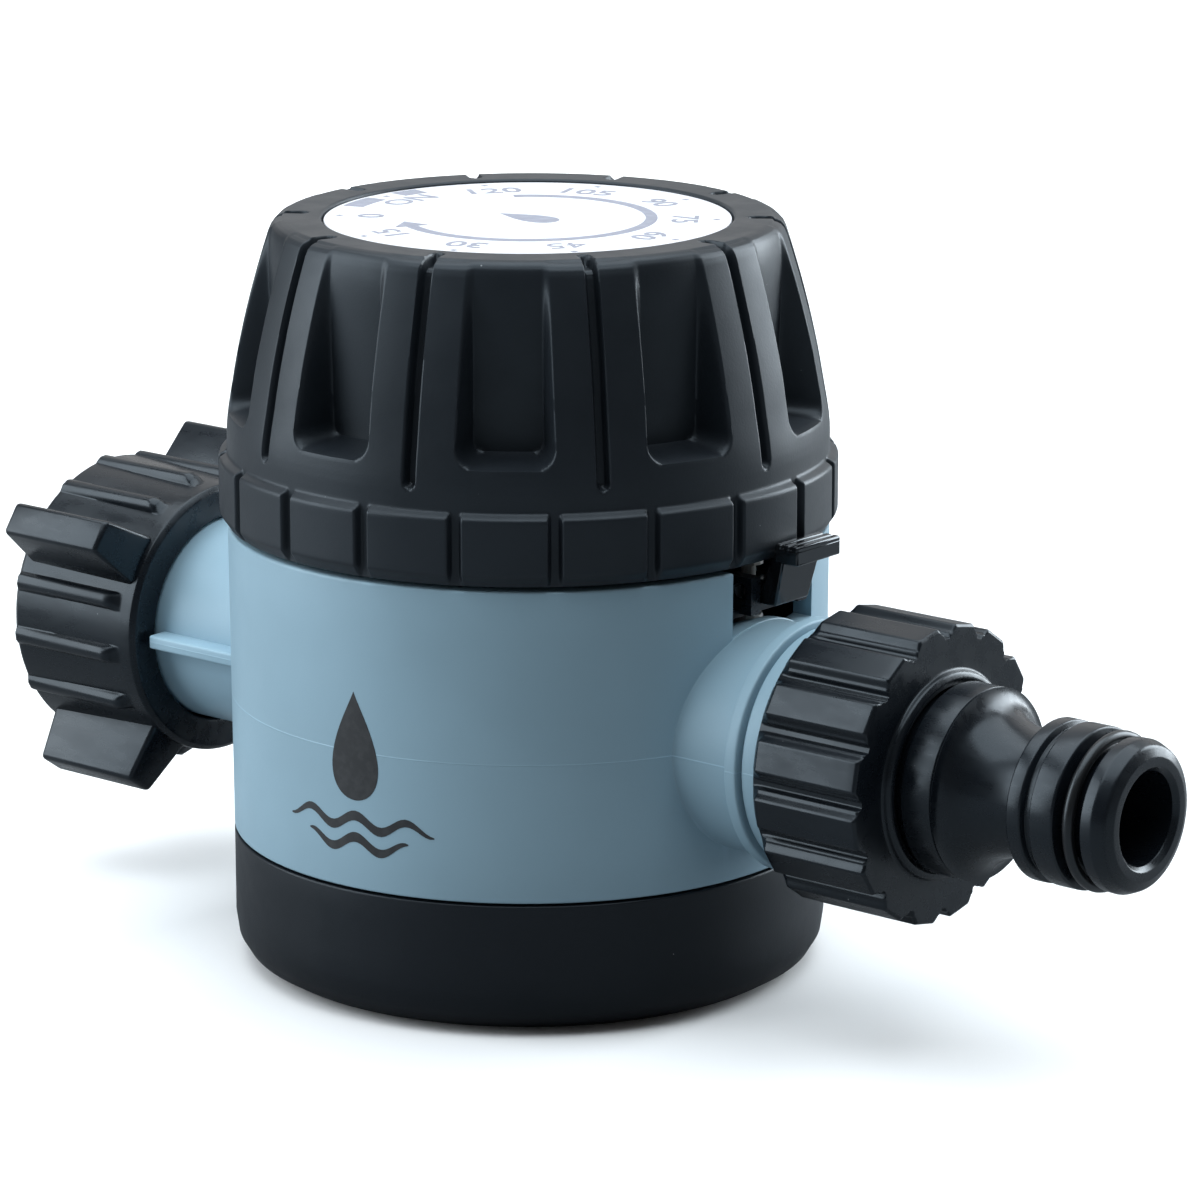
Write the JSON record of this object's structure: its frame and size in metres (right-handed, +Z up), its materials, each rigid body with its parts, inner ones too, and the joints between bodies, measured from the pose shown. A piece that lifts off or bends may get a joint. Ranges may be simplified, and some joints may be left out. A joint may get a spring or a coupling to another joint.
{
  "type": "drip irrigation timer",
  "caption": "Tap-mounted mechanical watering timer: ribbed wind-up dial on a round valve body, winged swivel inlet nut, hose nipple outlet and a small bypass lever.",
  "frame": {"origin": "centre of the flat underside of the base cap, on the body axis", "axes": "+Z up the dial axis, +X from inlet to hose outlet along the pipe"},
  "size_m": [0.1478, 0.068, 0.0832],
  "materials": {
    "blue_grey_body": "satin moulded blue-grey plastic",
    "satin_black": "satin soft-touch black",
    "gloss_black": "semi-gloss moulded black plastic",
    "label_white": "printed white label",
    "dark_grey": "moulded dark grey plastic",
    "white_plastic": "natural acetal",
    "rubber": "moulded rubber",
    "steel": "plain steel",
    "brass": "stamped brass"
  },
  "bodies": {
    "housing": {"body_housing": "blue_grey_body", "base_cap": "satin_black", "base_screw_1": "steel", "base_screw_2": "steel", "base_screw_3": "steel", "deck_plate": "dark_grey", "deck_screw_1": "steel", "deck_screw_2": "steel", "deck_screw_3": "steel", "valve_bonnet": "dark_grey", "bonnet_screw_1": "steel", "bonnet_screw_2": "steel", "bonnet_screw_3": "steel", "bonnet_screw_4": "steel", "diaphragm": "rubber", "valve_spring": "steel", "pilot_spring": "steel", "pilot_tube": "rubber", "inlet_snap_ring": "steel", "inlet_filter": "white_plastic", "outlet_nut": "gloss_black", "hose_nipple": "gloss_black", "nipple_oring": "rubber", "outlet_washer": "rubber", "lever_bracket": "gloss_black", "lever_pin": "steel", "clock_base_plate": "steel", "clock_top_plate": "steel", "clock_pillar_1": "brass", "clock_pillar_2": "brass", "clock_pillar_3": "brass", "clock_screw_1": "steel", "clock_screw_2": "steel", "clock_screw_3": "steel"},
    "dial": {"dial_knob": "satin_black", "dial_label": "label_white", "dial_screw": "steel", "dial_cam_ring": "white_plastic", "main_arbor": "steel", "great_wheel": "brass", "mainspring": "steel"},
    "second_train_wheel": {"second_wheel": "white_plastic"},
    "escape_train_wheel": {"escape_wheel": "white_plastic"},
    "anchor": {"escape_anchor": "brass"},
    "pilot": {"pilot_stem": "white_plastic", "pilot_oring": "rubber"},
    "main_valve": {"valve_plug": "white_plastic", "seat_washer": "rubber"},
    "swivel_nut": {"inlet_nut": "gloss_black", "inlet_washer": "rubber"},
    "lever": {"bypass_lever": "gloss_black"},
    "plunger": {"bypass_plunger": "white_plastic", "plunger_oring": "rubber"}
  },
  "joints": [
    {"name": "dial_turn", "type": "hinge", "parent": "housing", "child": "dial", "pos_m": [0, 0, 0.06], "axis": [0, 0, 1], "range_deg": [0, 324]},
    {"name": "second_wheel_turn", "type": "hinge", "parent": "housing", "child": "second_train_wheel", "pos_m": [0, 0.01355, 0.06], "axis": [0, 0, 1], "range_deg": [-1216, 0]},
    {"name": "escape_wheel_turn", "type": "hinge", "parent": "housing", "child": "escape_train_wheel", "pos_m": [-0.01062, 0.00926, 0.06], "axis": [0, 0, 1], "range_deg": [0, 3646]},
    {"name": "anchor_rock", "type": "hinge", "parent": "housing", "child": "anchor", "pos_m": [-0.0155, 0.00344, 0.064], "axis": [0, 0, 1], "range_deg": [-4, 4]},
    {"name": "pilot_slide", "type": "slide", "parent": "housing", "child": "pilot", "axis": [0, 0, 1], "range_m": [-0.00241, 0], "deforming": ["pilot_spring"]},
    {"name": "valve_slide", "type": "slide", "parent": "housing", "child": "main_valve", "axis": [0, 0, 1], "range_m": [0, 0.00201], "deforming": ["valve_spring", "diaphragm"]},
    {"name": "inlet_nut_spin", "type": "hinge", "parent": "housing", "child": "swivel_nut", "pos_m": [-0.055, 0, 0.0303], "axis": [1, 0, 0], "continuous": true},
    {"name": "lever_swing", "type": "hinge", "parent": "housing", "child": "lever", "pos_m": [0.0306, 0.0036, 0.046], "axis": [0, 1, 0], "range_deg": [0, 25]},
    {"name": "plunger_lift", "type": "slide", "parent": "housing", "child": "plunger", "axis": [0, 0, 1], "range_m": [0, 0.00114]}
  ],
  "couplings": [
    {"joint": "second_wheel_turn", "follows": "dial_turn", "ratio": -3.75},
    {"joint": "escape_wheel_turn", "follows": "dial_turn", "ratio": 11.25},
    {"joint": "pilot_slide", "follows": "dial_turn", "m_per_rad": -0.00042441},
    {"joint": "valve_slide", "follows": "dial_turn", "m_per_rad": 0.00035368},
    {"joint": "plunger_lift", "follows": "lever_swing", "m_per_rad": 0.0026}
  ]
}
